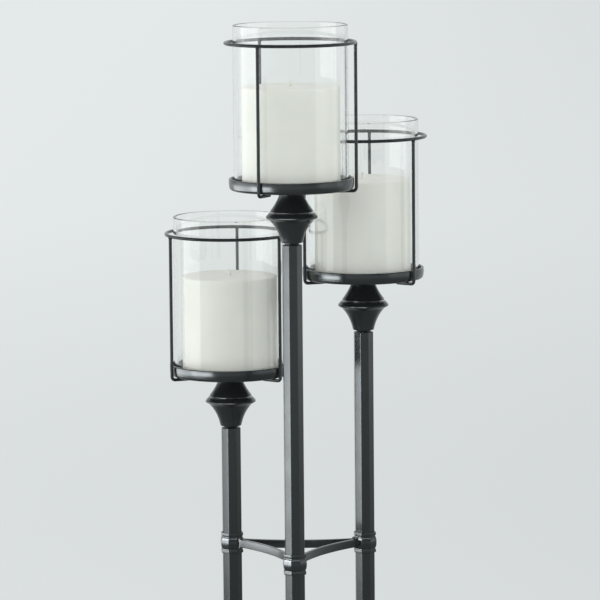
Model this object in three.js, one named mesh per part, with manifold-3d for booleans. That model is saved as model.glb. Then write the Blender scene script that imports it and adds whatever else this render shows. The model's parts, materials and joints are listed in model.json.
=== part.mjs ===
// A three-light tabletop candelabra. Three octagonal posts of different heights stand in a
// triangle, each with a turned knob, a dish, a wire cage, a glass cylinder and a pillar candle.
// Millimetres, +Z up, the middle post towards -Y. The origin is on the table, under the centre
// of the stand's bounding box.

import * as THREE from 'three';
import { mergeVertices } from 'three/addons/utils/BufferGeometryUtils.js';
import Module from 'manifold-3d';

// ---- driving dimensions ----

// Stand
const lanternGap = 3.8; // between neighbouring cages, which sets the posts' spacing
const footCircle = 150; // foot centres to the centre of the three posts
const upperCollarHeight = 280; // table to the middle of the upper collars
const dishHeights = { middle: 574, right: 493.5, left: 416.5 }; // table to each dish's underside
const cageTurns = { middle: -28, right: -66, left: -65 }; // degrees, first upright from -Y

// Post: an octagonal tube
const postAcrossFlats = 15;
const postWall = 1.5;
const postTurn = 7; // degrees, every post's front flat from facing -Y
const postFootHeight = 44; // table to the lower end of the tube
const insertLength = 24; // threaded insert in the tube's upper end
const finialDrop = 18; // turned drop that closes the tube's lower end
const finialProud = 1.5; // past the post's flats
const finialSpigot = 10; // the finial's length inside the tube

// Collar: an octagonal moulding of two rings with a barrel between them
const collarRingHeight = 2.5;
const collarRingProud = 1.1; // past the post's flats
const collarBarrelHeight = 8.7;
const collarBarrelProud = 1.6;
const collarGrooveHeight = 1.3;
const collarGrooveProud = 0.8;

// Spreader bar: a flat strip between two collars, bowed towards the centre
const barHeight = 6.5;
const barThickness = 3;
const barBow = 9.5;

// Leg: a curved flat bar with a round foot
const legThickness = 7;
const legRootRise = 8; // post's lower end to the leg's root
const legRootHeight = 34;
const legToCollar = 9.85; // leg's root to the lower collar
const legDepthAtFoot = 6;
const footRadius = 9.5;
const footThickness = 3;
const padRadius = 8.8;
const padHeight = 3;

// Knob: two turned cones that meet at a disc
const knobHeight = 42.5;
const knobDiscRadius = 20.2;
const knobDiscDrop = 21; // from the knob's top to the disc's edge
const knobNeckRadius = 9.5;
const knobShoulderRadius = 16.2;
const knobShoulderDrop = 15.8;
const knobGrooveRadius = 16.6;
const knobGrooveDrop = 25.6;
const knobGrooveWidth = 1.2;
const knobGrooveDepth = 0.7;
const knobFootProud = 0.9; // past the post's flats
const knobFootRound = 2;
const knobNeckFlare = 1.2; // how far the upper cone's curve stands out at half height
const knobBeadHeight = 2; // from the shoulder to the disc's upper side
const knobLip = 1.2; // small step above and below the bead
const knobWaistFlare = 2.6; // radius that the lower cone's curve adds to the foot's
const knobWaistHeight = 8; // height of that curve above the knob's foot

// Dish
const dishFlare = 1; // how much wider the rim is than the bottom
const dishDepth = 9; // underside to rim
const dishFloor = 3;
const dishWall = 2;
const dishFillet = 1.2;

// Cage: a wire ring on three bent uprights
const wireDiameter = 2.6;
const cageRingHeight = 113.4; // dish underside to the ring's wire centre
const wireBendRadius = 2.8;
const wireTail = 14; // straight wire under the dish

// Glass cylinder
const glassWall = 2.2;
const glassHeight = 124;

// Candle and wick
const candleRadius = 38.1;
const candleHeight = 76.5;
const candleEdge = 1.2;
const wickRadius = 1.1;
const wickLength = 13;
const wickInCandle = 8;

// Screw that holds the dish and the knob on the post: M5, countersunk
const screwRadius = 2.5;
const screwHeadRadius = 5;
const screwHeadDepth = 2.5;
const screwHeadSunk = 0.2; // head below the dish floor
const screwGrip = 18; // thread inside the insert

// Clearances
const seat = 0.3; // between pieces that rest on each other or are welded
const slip = 0.3; // radial, round a piece that drops in or passes through
const glassSlip = 1; // radial, between the glass and the dish's wall
const candleSlip = 4.2; // radial, between the candle and the glass
const thread = 0.15; // radial, between the screw and its insert
const cageGap = 0.4; // between the uprights and the dish's rim

// Facets round a turned piece: fine for the wide ones, coarse for the small ones
const wideFacets = 32;
const knobFacets = 24;
const smallFacets = 24;
const wireFacets = 8;

// ---- values that follow ----

const postSides = 8;
const postFlat = postAcrossFlats / 2;
const boreFlat = postFlat - postWall;
const finialRadius = postFlat + finialProud;
const knobFootRadius = postFlat + knobFootProud;
const legRootLow = postFootHeight + legRootRise;
const collarHalfHeight = collarBarrelHeight / 2 + collarGrooveHeight + collarRingHeight;
const lowerCollarHeight = legRootLow + legRootHeight + legToCollar + collarHalfHeight;
const seatedDishFloor = dishFloor + seat;
const glassRadius = candleRadius + candleSlip + glassWall;
const dishBottomRadius = glassRadius + glassSlip + dishWall;
const dishTopRadius = dishBottomRadius + dishFlare;
const uprightRadius = dishTopRadius + cageGap + wireDiameter / 2;
const cageRadius = uprightRadius + wireDiameter / 2;
const postSpacing = 2 * cageRadius + lanternGap; // between neighbouring post axes
const postRadius = postSpacing / Math.sqrt(3); // post axes to the centre of the three posts
const frontReach = Math.max(footCircle + footRadius, postRadius + cageRadius);
const backReach = Math.max(footCircle / 2 + footRadius, postRadius / 2 + cageRadius);
const centreShift = (frontReach - backReach) / 2; // puts the bounding box's middle on the origin
const directions = { middle: -90, right: 30, left: 150 }; // degrees, each post from the centre
const sides = Object.keys(directions);

const radians = THREE.MathUtils.degToRad;
const wasm = await Module();
wasm.setup();

// ---- materials ----

function finish(color, roughness, metalness) {
  return new THREE.MeshStandardMaterial({ color, roughness, metalness });
}

const gunmetal = () => finish(0x3a3d3f, 0.38, 0.75);
const zincSteel = () => finish(0xa9abac, 0.4, 0.9);
const clearGlass = () => finish(0xe6efec, 0.05, 0);
const wax = () => finish(0xf1efe6, 0.55, 0);
const cotton = () => finish(0xe9e4d4, 0.9, 0);
const blackRubber = () => finish(0x1d1d1e, 0.8, 0);

// ---- shape helpers ----

const point = (x, y) => new THREE.Vector2(x, y);

// Revolves an outline of (radius, height) points about Z. The outline runs anticlockwise, with
// the radius to the right, and either starts and ends on the axis or is closed here.
function turned(outline, facets) {
  const points = [...outline];
  const first = points[0];
  const last = points[points.length - 1];
  if (first.x > 0 || last.x > 0) points.push(first.clone());
  const geometry = new THREE.LatheGeometry(points, facets);
  geometry.rotateX(Math.PI / 2);
  return geometry;
}

// The same for a prism-like piece that follows the post: radii are given to the flats, and one
// flat faces -Y before the post's turn.
function octagonal(outline) {
  const cornerScale = 1 / Math.cos(Math.PI / postSides);
  const corners = outline.map((p) => point(p.x * cornerScale, p.y));
  const geometry = turned(corners, postSides);
  geometry.rotateZ(Math.PI / postSides + radians(postTurn));
  return geometry;
}

function tubeOutline(inner, outer, low, high) {
  return [point(outer, low), point(outer, high), point(inner, high), point(inner, low)];
}

function toSolid(geometry) {
  const bare = geometry.clone();
  bare.deleteAttribute('normal');
  bare.deleteAttribute('uv');
  const merged = mergeVertices(bare);
  const mesh = new wasm.Mesh({
    numProp: 3,
    vertProperties: new Float32Array(merged.attributes.position.array),
    triVerts: new Uint32Array(merged.index.array),
  });
  return new wasm.Manifold(mesh);
}

function toGeometry(solid) {
  const mesh = solid.getMesh();
  const geometry = new THREE.BufferGeometry();
  geometry.setAttribute('position', new THREE.BufferAttribute(mesh.vertProperties, 3));
  geometry.setIndex(new THREE.BufferAttribute(mesh.triVerts, 1));
  geometry.computeVertexNormals();
  return geometry;
}

function piece(name, geometry, material) {
  const mesh = new THREE.Mesh(geometry, material);
  mesh.name = name;
  return mesh;
}

// Plan position of a post's axis.
function postPlace(side) {
  const angle = radians(directions[side]);
  return point(postRadius * Math.cos(angle), postRadius * Math.sin(angle) + centreShift);
}

// ---- wire cage ----

// A wire's centre line through given points. Its steps are the points themselves, so that a
// bend keeps its own points beside long straight stretches.
class WirePath extends THREE.Curve {
  constructor(points) {
    super();
    this.points = points;
  }

  getPoint(t) {
    const place = t * (this.points.length - 1);
    const index = Math.min(Math.floor(place), this.points.length - 2);
    return this.points[index].clone().lerp(this.points[index + 1], place - index);
  }

  getPointAt(t) {
    return this.getPoint(t);
  }

  getTangentAt(t) {
    return this.getTangent(t);
  }
}

// Runs down outside the dish, bends round its lower edge and ends under it.
function uprightGeometry() {
  const bendSteps = 5;
  const tailHeight = -seat - wireDiameter / 2;
  const topHeight = cageRingHeight - wireDiameter / 2 - seat;
  const bendCentre = new THREE.Vector3(uprightRadius - wireBendRadius, 0, tailHeight + wireBendRadius);
  const points = [new THREE.Vector3(uprightRadius, 0, topHeight)];
  for (let i = 0; i <= bendSteps; i += 1) {
    const angle = (-Math.PI / 2) * (i / bendSteps);
    const arm = new THREE.Vector3(Math.cos(angle), 0, Math.sin(angle)).multiplyScalar(wireBendRadius);
    points.push(bendCentre.clone().add(arm));
  }
  points.push(new THREE.Vector3(bendCentre.x - wireTail, 0, tailHeight));
  const section = new THREE.Shape();
  section.absarc(0, 0, wireDiameter / 2, 0, 2 * Math.PI);
  return new THREE.ExtrudeGeometry(section, {
    extrudePath: new WirePath(points),
    steps: points.length - 1,
    curveSegments: wireFacets / 2,
    bevelEnabled: false,
  });
}

function cageRingGeometry() {
  const ring = new THREE.TorusGeometry(uprightRadius, wireDiameter / 2, wireFacets, wideFacets);
  ring.translate(0, 0, cageRingHeight);
  return ring;
}

// ---- dish, knob and screw ----

function dishGeometry() {
  const holeRadius = screwRadius + slip;
  const sinkRadius = screwHeadRadius + slip;
  const sinkDepth = screwHeadDepth + screwHeadSunk;
  const innerTop = dishTopRadius - dishWall;
  const innerBottom = dishBottomRadius - dishWall;
  return turned(
    [
      point(holeRadius, 0),
      point(dishBottomRadius - dishFillet, 0),
      point(dishBottomRadius, dishFillet),
      point(dishTopRadius, dishDepth),
      point(innerTop, dishDepth),
      point(innerBottom, dishFloor + dishFillet),
      point(innerBottom - dishFillet, dishFloor),
      point(sinkRadius, dishFloor),
      point(sinkRadius, dishFloor - screwHeadSunk),
      point(holeRadius, dishFloor - sinkDepth),
    ],
    wideFacets,
  );
}

// Heights are below the dish, so the knob hangs from z = -seat.
function knobGeometry() {
  const holeRadius = screwRadius + slip;
  const grooveFloor = knobGrooveRadius - knobGrooveDepth;
  const grooveLow = -knobGrooveDrop - knobGrooveWidth;
  const shape = new THREE.Path();
  shape.moveTo(knobNeckRadius, 0);
  shape.quadraticCurveTo(
    knobNeckRadius + knobNeckFlare,
    -knobShoulderDrop / 2,
    knobShoulderRadius,
    -knobShoulderDrop,
  );
  shape.lineTo(knobShoulderRadius + knobLip, -knobShoulderDrop - knobBeadHeight);
  shape.lineTo(knobDiscRadius - knobLip / 2, -knobDiscDrop + knobLip);
  shape.lineTo(knobDiscRadius, -knobDiscDrop);
  shape.lineTo(knobGrooveRadius, -knobGrooveDrop);
  shape.lineTo(grooveFloor, (grooveLow - knobGrooveDrop) / 2);
  shape.lineTo(knobGrooveRadius - knobGrooveDepth / 2, grooveLow);
  shape.quadraticCurveTo(
    knobFootRadius + knobWaistFlare,
    -knobHeight + knobWaistHeight,
    knobFootRadius,
    -knobHeight + knobFootRound,
  );
  shape.lineTo(knobFootRadius - knobFootRound / 2, -knobHeight);
  const outside = shape.getPoints(3).reverse();
  const outline = [...outside, point(holeRadius, 0), point(holeRadius, -knobHeight)];
  const knob = turned(outline, knobFacets);
  knob.translate(0, 0, -seat);
  return knob;
}

function screwGeometry() {
  const headTop = dishFloor - screwHeadSunk;
  const tip = -seat - knobHeight - seat - screwGrip;
  const tipChamfer = 1;
  return turned(
    [
      point(0, tip),
      point(screwRadius - tipChamfer, tip),
      point(screwRadius, tip + tipChamfer),
      point(screwRadius, headTop - screwHeadDepth),
      point(screwHeadRadius, headTop),
      point(0, headTop),
    ],
    smallFacets,
  );
}

// ---- glass, candle and wick ----

function glassGeometry() {
  const rimRound = glassWall / 3;
  const inner = glassRadius - glassWall;
  const low = seatedDishFloor;
  const high = low + glassHeight;
  return turned(
    [
      point(inner, low),
      point(glassRadius, low),
      point(glassRadius, high - rimRound),
      point(glassRadius - rimRound, high),
      point(inner + rimRound, high),
      point(inner, high - rimRound),
    ],
    wideFacets,
  );
}

function candleGeometry() {
  const low = seatedDishFloor;
  const high = low + candleHeight;
  const wellRadius = wickRadius + slip;
  return turned(
    [
      point(0, low),
      point(candleRadius - candleEdge, low),
      point(candleRadius, low + candleEdge),
      point(candleRadius, high - candleEdge),
      point(candleRadius - candleEdge, high),
      point(wellRadius, high),
      point(wellRadius, high - wickInCandle - seat),
      point(0, high - wickInCandle - seat),
    ],
    wideFacets,
  );
}

function wickGeometry() {
  const low = seatedDishFloor + candleHeight - wickInCandle;
  const outline = [point(0, low), point(wickRadius, low)];
  outline.push(point(wickRadius, low + wickLength), point(0, low + wickLength));
  return turned(outline, wireFacets);
}

// ---- post, collars, finial, leg and foot ----

function postTop(side) {
  return dishHeights[side] - seat - knobHeight - seat;
}

function postGeometry(side) {
  return octagonal(tubeOutline(boreFlat, postFlat, postFootHeight, postTop(side)));
}

function insertGeometry(side) {
  const high = postTop(side);
  return octagonal(tubeOutline(screwRadius + thread, boreFlat - slip, high - insertLength, high));
}

function collarGeometry(height) {
  const bore = postFlat + slip;
  const ring = postFlat + collarRingProud;
  const groove = postFlat + collarGrooveProud;
  const barrelEnd = postFlat + (collarGrooveProud + collarBarrelProud) / 2;
  const barrel = postFlat + collarBarrelProud;
  const barrelHalf = collarBarrelHeight / 2;
  const ringHigh = collarHalfHeight;
  const ringLow = ringHigh - collarRingHeight;
  const upperHalf = [
    point(barrel, barrelHalf / 2),
    point(barrelEnd, barrelHalf),
    point(groove, barrelHalf),
    point(groove, ringLow),
    point(ring, ringLow),
    point(ring, ringHigh),
  ];
  const lowerHalf = upperHalf.map((p) => point(p.x, -p.y)).reverse();
  const outline = [...lowerHalf, ...upperHalf, point(bore, ringHigh), point(bore, -ringHigh)];
  const collar = octagonal(outline);
  collar.translate(0, 0, height);
  return collar;
}

// The space that a collar's barrel needs, which the bars' ends are cut to.
function collarSpace(side, height) {
  const reach = postFlat + collarBarrelProud + seat;
  const outline = [point(0, -barHeight), point(reach, -barHeight)];
  outline.push(point(reach, barHeight), point(0, barHeight));
  const space = octagonal(outline);
  const place = postPlace(side);
  space.translate(place.x, place.y, height);
  return toSolid(space);
}

function finialGeometry() {
  const shape = new THREE.Path();
  shape.moveTo(0, -finialDrop);
  shape.quadraticCurveTo(finialRadius * 0.8, -finialDrop, finialRadius, -finialDrop * 0.4);
  shape.lineTo(finialRadius, 0);
  const rootRadius = boreFlat - slip;
  const outline = [...shape.getPoints(4)];
  outline.push(point(rootRadius, 0), point(rootRadius, finialSpigot), point(0, finialSpigot));
  const finial = turned(outline, smallFacets);
  finial.translate(0, 0, postFootHeight - seat);
  return finial;
}

// In the post's own frame, with +X outwards from the centre of the stand. The two edges are
// curves whose handles are shares of the leg's reach.
function legGeometry(turn) {
  const reach = footCircle - postRadius;
  const soleHeight = padHeight + seat;
  const ankle = soleHeight + footThickness + legDepthAtFoot;
  const outline = new THREE.Shape();
  outline.moveTo(0, legRootLow);
  outline.bezierCurveTo(
    reach * 0.32,
    legRootLow,
    reach * 0.5,
    soleHeight,
    reach,
    soleHeight,
  );
  outline.lineTo(reach, ankle);
  outline.bezierCurveTo(
    reach * 0.62,
    ankle,
    reach * 0.5,
    legRootLow + legRootHeight,
    0,
    legRootLow + legRootHeight,
  );
  const blade = new THREE.ExtrudeGeometry(outline, {
    depth: legThickness,
    curveSegments: 14,
    bevelEnabled: false,
  });
  blade.translate(0, 0, -legThickness / 2);
  blade.rotateX(Math.PI / 2);
  const foot = new THREE.CylinderGeometry(footRadius, footRadius, footThickness, smallFacets);
  foot.rotateX(Math.PI / 2);
  foot.translate(reach, 0, soleHeight + footThickness / 2);
  const reachToPost = postFlat + seat;
  const low = legRootLow - legRootHeight;
  const high = legRootLow + 2 * legRootHeight;
  const postOutline = [point(0, low), point(reachToPost, low)];
  postOutline.push(point(reachToPost, high), point(0, high));
  const postSpace = octagonal(postOutline);
  postSpace.rotateZ(-turn);
  return toGeometry(toSolid(blade).add(toSolid(foot)).subtract(toSolid(postSpace)));
}

function padGeometry() {
  const chamfer = 0.8;
  const pad = turned(
    [
      point(0, 0),
      point(padRadius - chamfer, 0),
      point(padRadius, chamfer),
      point(padRadius, padHeight),
      point(0, padHeight),
    ],
    smallFacets,
  );
  pad.translate(footCircle - postRadius, 0, 0);
  return pad;
}

// ---- spreader bars ----

// An arc strip between two post axes, bowed towards the centre and cut back at both collars.
function barGeometry(from, to, height) {
  const start = postPlace(from);
  const end = postPlace(to);
  const span = start.distanceTo(end);
  const radius = (span * span) / (8 * barBow) + barBow / 2;
  const halfAngle = Math.asin(span / 2 / radius);
  const strip = new THREE.Shape();
  strip.absarc(0, 0, radius + barThickness / 2, Math.PI / 2 - halfAngle, Math.PI / 2 + halfAngle);
  strip.absarc(0, 0, radius - barThickness / 2, Math.PI / 2 + halfAngle, Math.PI / 2 - halfAngle, true);
  const bar = new THREE.ExtrudeGeometry(strip, {
    depth: barHeight,
    curveSegments: 14,
    bevelEnabled: false,
  });
  const middle = start.clone().add(end).multiplyScalar(0.5);
  const inwards = Math.atan2(centreShift - middle.y, -middle.x);
  bar.translate(0, barBow - radius, -barHeight / 2);
  bar.rotateZ(inwards - Math.PI / 2);
  bar.translate(middle.x, middle.y, height);
  const ends = collarSpace(from, height).add(collarSpace(to, height));
  return toGeometry(toSolid(bar).subtract(ends));
}

// ---- assembly ----

function stand(side) {
  const group = new THREE.Group();
  const place = postPlace(side);
  group.position.set(place.x, place.y, 0);
  group.add(piece(`post_${side}`, postGeometry(side), gunmetal()));
  group.add(piece(`threaded_insert_${side}`, insertGeometry(side), zincSteel()));
  group.add(piece(`upper_collar_${side}`, collarGeometry(upperCollarHeight), gunmetal()));
  group.add(piece(`lower_collar_${side}`, collarGeometry(lowerCollarHeight), gunmetal()));
  group.add(piece(`drop_finial_${side}`, finialGeometry(), gunmetal()));
  const turn = radians(directions[side]);
  const outwards = new THREE.Group();
  outwards.rotation.z = turn;
  outwards.add(piece(`leg_${side}`, legGeometry(turn), gunmetal()));
  outwards.add(piece(`foot_pad_${side}`, padGeometry(), blackRubber()));
  group.add(outwards);
  return group;
}

function lantern(side) {
  const group = new THREE.Group();
  const place = postPlace(side);
  group.position.set(place.x, place.y, dishHeights[side]);
  group.add(piece(`knob_${side}`, knobGeometry(), gunmetal()));
  group.add(piece(`dish_screw_${side}`, screwGeometry(), zincSteel()));
  group.add(piece(`dish_${side}`, dishGeometry(), gunmetal()));
  group.add(piece(`cage_ring_${side}`, cageRingGeometry(), gunmetal()));
  for (let i = 0; i < 3; i += 1) {
    const upright = piece(`cage_upright_${side}_${i + 1}`, uprightGeometry(), gunmetal());
    upright.rotation.z = radians(cageTurns[side] - 90 + 120 * i);
    group.add(upright);
  }
  group.add(piece(`glass_${side}`, glassGeometry(), clearGlass()));
  group.add(piece(`candle_${side}`, candleGeometry(), wax()));
  group.add(piece(`wick_${side}`, wickGeometry(), cotton()));
  return group;
}

const candelabra = new THREE.Group();
for (const side of sides) {
  candelabra.add(stand(side));
  candelabra.add(lantern(side));
}
sides.forEach((side, i) => {
  const next = sides[(i + 1) % sides.length];
  const upper = barGeometry(side, next, upperCollarHeight);
  const lower = barGeometry(side, next, lowerCollarHeight);
  candelabra.add(piece(`upper_bar_${side}_${next}`, upper, gunmetal()));
  candelabra.add(piece(`lower_bar_${side}_${next}`, lower, gunmetal()));
});

export default candelabra;
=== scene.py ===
import json
import math

import bpy
from mathutils import Matrix, Vector

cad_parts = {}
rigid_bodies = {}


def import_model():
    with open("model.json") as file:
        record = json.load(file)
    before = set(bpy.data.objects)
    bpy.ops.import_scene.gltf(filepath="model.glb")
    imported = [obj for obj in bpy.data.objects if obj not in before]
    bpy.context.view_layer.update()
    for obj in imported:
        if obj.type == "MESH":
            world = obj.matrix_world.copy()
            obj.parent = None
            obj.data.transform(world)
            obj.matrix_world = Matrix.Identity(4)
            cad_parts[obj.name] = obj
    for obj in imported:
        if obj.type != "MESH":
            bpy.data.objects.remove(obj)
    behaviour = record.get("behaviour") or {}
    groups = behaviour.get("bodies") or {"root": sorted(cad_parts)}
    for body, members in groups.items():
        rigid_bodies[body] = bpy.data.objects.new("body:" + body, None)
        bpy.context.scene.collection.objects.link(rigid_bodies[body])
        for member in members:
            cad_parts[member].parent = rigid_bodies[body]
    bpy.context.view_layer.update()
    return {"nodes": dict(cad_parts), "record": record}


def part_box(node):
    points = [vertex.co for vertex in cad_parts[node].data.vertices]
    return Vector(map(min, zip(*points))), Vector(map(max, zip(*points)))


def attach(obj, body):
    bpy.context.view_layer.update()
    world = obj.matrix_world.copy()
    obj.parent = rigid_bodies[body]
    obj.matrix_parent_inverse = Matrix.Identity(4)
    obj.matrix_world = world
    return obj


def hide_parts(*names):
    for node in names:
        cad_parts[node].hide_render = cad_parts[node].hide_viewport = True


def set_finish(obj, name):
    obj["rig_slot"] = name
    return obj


# A tabletop candelabra: three octagonal posts carry turned knobs, dishes, wire cages, glass
# cylinders and pillar candles. Lengths in the dictionaries are millimetres.

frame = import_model()
nodes = frame["nodes"]
bodies = frame["record"]["behaviour"]["bodies"]
mm = 0.001
sides = ("middle", "right", "left")
up = Vector((0, 0, 1))
print("frame loaded:", len(nodes), "nodes")


# Places are taken from the frame.
def nodeMiddle(node):
    low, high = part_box(node)
    return (low + high) / 2


def nodeLow(node):
    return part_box(node)[0].z


def nodeHigh(node):
    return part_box(node)[1].z


levelReach = 0.5 * mm


# Middle of a node's vertices that lie near the given level.
def levelMiddle(node, level):
    near = [v.co for v in nodes[node].data.vertices if abs(v.co.z - level) < levelReach]
    total = sum(near, Vector())
    return total / len(near)


def flatPlace(point):
    return Vector((point.x, point.y, 0))


postAxis = {side: flatPlace(nodeMiddle(f"knob_{side}")) for side in sides}
dishBase = {side: postAxis[side] + up * nodeLow(f"dish_{side}") for side in sides}
standCentre = sum(postAxis.values(), Vector()) / len(sides)


# Everything is deselected before a new primitive comes.
def selectNone():
    if bpy.context.mode != "OBJECT":
        bpy.ops.object.mode_set(mode="OBJECT")
    bpy.ops.object.select_all(action="DESELECT")


def makeActive(piece):
    selectNone()
    piece.select_set(True)
    bpy.context.view_layer.objects.active = piece


def startEdit():
    bpy.ops.object.mode_set(mode="EDIT")
    bpy.ops.mesh.select_mode(type="VERT")
    return bpy.context.object


def pickAll():
    bpy.ops.mesh.select_all(action="SELECT")


def pickVertices(piece, wanted):
    bpy.ops.mesh.select_all(action="DESELECT")
    bpy.ops.object.mode_set(mode="OBJECT")
    for vertex in piece.data.vertices:
        vertex.select = wanted(piece.matrix_world @ vertex.co)
    bpy.ops.object.mode_set(mode="EDIT")


def push(move):
    bpy.ops.mesh.extrude_region_move(TRANSFORM_OT_translate={"value": move})


def swell(scale, about):
    bpy.ops.transform.resize(value=(scale, scale, scale), center_override=about)


# A line of vertices through given points, each pulled out of the last.
def drawLine(points):
    selectNone()
    bpy.ops.mesh.primitive_plane_add(size=mm, location=points[0])
    piece = startEdit()
    pickAll()
    bpy.ops.mesh.merge(type="CENTER")
    for last, following in zip(points, points[1:]):
        move = following - last
        bpy.ops.mesh.extrude_vertices_move(TRANSFORM_OT_translate={"value": move})
    return piece


mergeDistance = 0.002 * mm
sameLevel = 0.008 * mm


def closeUp():
    pickAll()
    bpy.ops.mesh.remove_doubles(threshold=mergeDistance)
    bpy.ops.mesh.normals_make_consistent(inside=False)


def finishEdit(piece, name):
    makeActive(piece)
    bpy.ops.object.transform_apply(location=True, rotation=True, scale=True)
    piece.name = name
    piece.data.name = name
    return piece


# Rounds every edge sharper than the angle. Width in millimetres, angle in degrees.
def roundEdges(piece, width, segments, angle):
    makeActive(piece)
    bevel = piece.modifiers.new("edges", "BEVEL")
    bevel.width = width * mm
    bevel.segments = segments
    bevel.limit_method = "ANGLE"
    bevel.angle_limit = math.radians(angle)
    bpy.ops.object.modifier_apply(modifier=bevel.name)


def smoothFaces(piece, angle):
    makeActive(piece)
    bpy.ops.object.shade_smooth_by_angle(angle=math.radians(angle))
    weighted = piece.modifiers.new("shading", "WEIGHTED_NORMAL")
    weighted.keep_sharp = True
    bpy.ops.object.modifier_apply(modifier=weighted.name)


def thicken(piece, thickness, offset):
    makeActive(piece)
    wall = piece.modifiers.new("wall", "SOLIDIFY")
    wall.thickness = thickness * mm
    wall.offset = offset
    bpy.ops.object.modifier_apply(modifier=wall.name)


def combine(piece, tool, operation):
    makeActive(piece)
    cut = piece.modifiers.new("cut", "BOOLEAN")
    cut.operation = operation
    cut.solver = "EXACT"
    cut.object = tool
    bpy.ops.object.modifier_apply(modifier=cut.name)
    bpy.data.objects.remove(tool)


# Turns an outline of (radius, height) in millimetres round an upright axis.
def turnOutline(name, outline, base, steps, closed=False, startAngle=0.0):
    arm = Vector((math.cos(startAngle), math.sin(startAngle), 0))
    points = [base + arm * (r * mm) + up * (h * mm) for r, h in outline]
    if closed:
        points.append(points[0])
    piece = drawLine(points)
    pickAll()
    bpy.ops.mesh.spin(steps=steps, angle=2 * math.pi, center=base, axis=up)
    closeUp()
    return finishEdit(piece, name)


def arcPoints(centre, radius, start, end, steps):
    angles = [math.radians(start + (end - start) * i / steps) for i in range(steps + 1)]
    return [(centre[0] + radius * math.cos(a), centre[1] + radius * math.sin(a)) for a in angles]


def curvePoints(start, handle, end, steps):
    points = []
    for i in range(1, steps + 1):
        t = i / steps
        shares = ((1 - t) ** 2, 2 * t * (1 - t), t * t)
        points.append(tuple(sum(s * p[k] for s, p in zip(shares, (start, handle, end))) for k in (0, 1)))
    return points


# A copy with its own mesh, turned about its old place and then moved.
def copyPiece(piece, name, about, move, turn=0.0):
    twin = piece.copy()
    twin.data = piece.data.copy()
    twin.name = name
    twin.data.name = name
    bpy.context.collection.objects.link(twin)
    turning = Matrix.Rotation(turn, 4, "Z")
    twin.data.transform(Matrix.Translation(about + move) @ turning @ Matrix.Translation(-about))
    return twin


# An sRGB hex colour made linear.
def linear(hexColour):
    values = [int(hexColour[i:i + 2], 16) / 255 for i in (1, 3, 5)]
    return [v / 12.92 if v <= 0.04045 else ((v + 0.055) / 1.055) ** 2.4 for v in values] + [1.0]


# Adds one node: sockets takes constants or other nodes' sockets, settings its properties.
# A colour mix has its share at input 0, its colours at 6 and 7, and its result at output 2.
def addNode(tree, kind, sockets=None, **settings):
    node = tree.nodes.new("ShaderNode" + kind)
    for name, value in settings.items():
        setattr(node, name, value)
    for name, value in (sockets or {}).items():
        if isinstance(value, bpy.types.NodeSocket):
            tree.links.new(value, node.inputs[name])
        else:
            node.inputs[name].default_value = value
    return node


def startMaterial(name):
    material = bpy.data.materials.new(name)
    material.use_nodes = True
    tree = material.node_tree
    tree.nodes.clear()
    return material, tree, addNode(tree, "TexCoord").outputs["Object"]


def endMaterial(tree, shader):
    addNode(tree, "OutputMaterial", {"Surface": shader})


def perMetre(size):
    return 1 / (size * mm)


gunmetal = {
    "deep": "#4d5253",       # body of the paint
    "warm": "#505254",       # where the coat is thicker
    "cloud": 24,             # size of the slow change of colour
    "cloudDetail": 3.0,
    "cloudRoughness": 0.55,
    "cloudRange": (0.3, 0.7),
    "metallic": 0.8,
    "roughness": (0.2, 0.27),
    "peel": 1.6,             # orange peel, drawn coarser than the real 0.8 mm so that it shows
    "peelDetail": 1.0,
    "peelStrength": 0.5,
    "peelDepth": 0.005,
    "flake": 0.5,            # aluminium flakes, drawn coarser than the real 0.05 mm
    "flakeEdge": (0.05, 0.3),    # from a flake's middle, in flake sizes
    "flakeShare": 0.22,
    "flakeColour": "#757778",
}


# Satin gunmetal paint on steel, sprayed: dark, soft highlights, slight orange peel, fine flakes.
def makeGunmetal():
    g = gunmetal
    material, tree, place = startMaterial("gunmetalSprayedPaint")
    cloud = addNode(tree, "TexNoise", {
        "Vector": place, "Scale": perMetre(g["cloud"]),
        "Detail": g["cloudDetail"], "Roughness": g["cloudRoughness"],
    })
    body = addNode(tree, "Mix", {
        0: cloud.outputs["Fac"], 6: linear(g["deep"]), 7: linear(g["warm"]),
    }, data_type="RGBA")
    flake = addNode(tree, "TexVoronoi", {
        "Vector": place, "Scale": perMetre(g["flake"]), "Randomness": 1.0,
    })
    near, far = g["flakeEdge"]
    flakeShare = addNode(tree, "MapRange", {
        "Value": flake.outputs["Distance"], "From Min": near, "From Max": far,
        "To Min": g["flakeShare"], "To Max": 0.0,
    })
    colour = addNode(tree, "Mix", {
        0: flakeShare.outputs["Result"], 6: body.outputs[2], 7: linear(g["flakeColour"]),
    }, data_type="RGBA")
    clear, thick = g["cloudRange"]
    low, high = g["roughness"]
    roughness = addNode(tree, "MapRange", {
        "Value": cloud.outputs["Fac"], "From Min": clear, "From Max": thick, "To Min": low, "To Max": high,
    })
    peel = addNode(tree, "TexNoise", {
        "Vector": place, "Scale": perMetre(g["peel"]), "Detail": g["peelDetail"],
    })
    bump = addNode(tree, "Bump", {
        "Height": peel.outputs["Fac"], "Strength": g["peelStrength"], "Distance": g["peelDepth"] * mm,
    })
    shader = addNode(tree, "BsdfPrincipled", {
        "Base Color": colour.outputs[2],
        "Metallic": g["metallic"],
        "Roughness": roughness.outputs["Result"],
        "Normal": bump.outputs["Normal"],
    })
    endMaterial(tree, shader.outputs["BSDF"])
    return material


zinc = {
    "bright": "#b9bcbf",
    "blue": "#a9b0ba",
    "spangle": 2.5,
    "spangleEdge": 0.6,
    "roughness": (0.24, 0.36),
}


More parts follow.
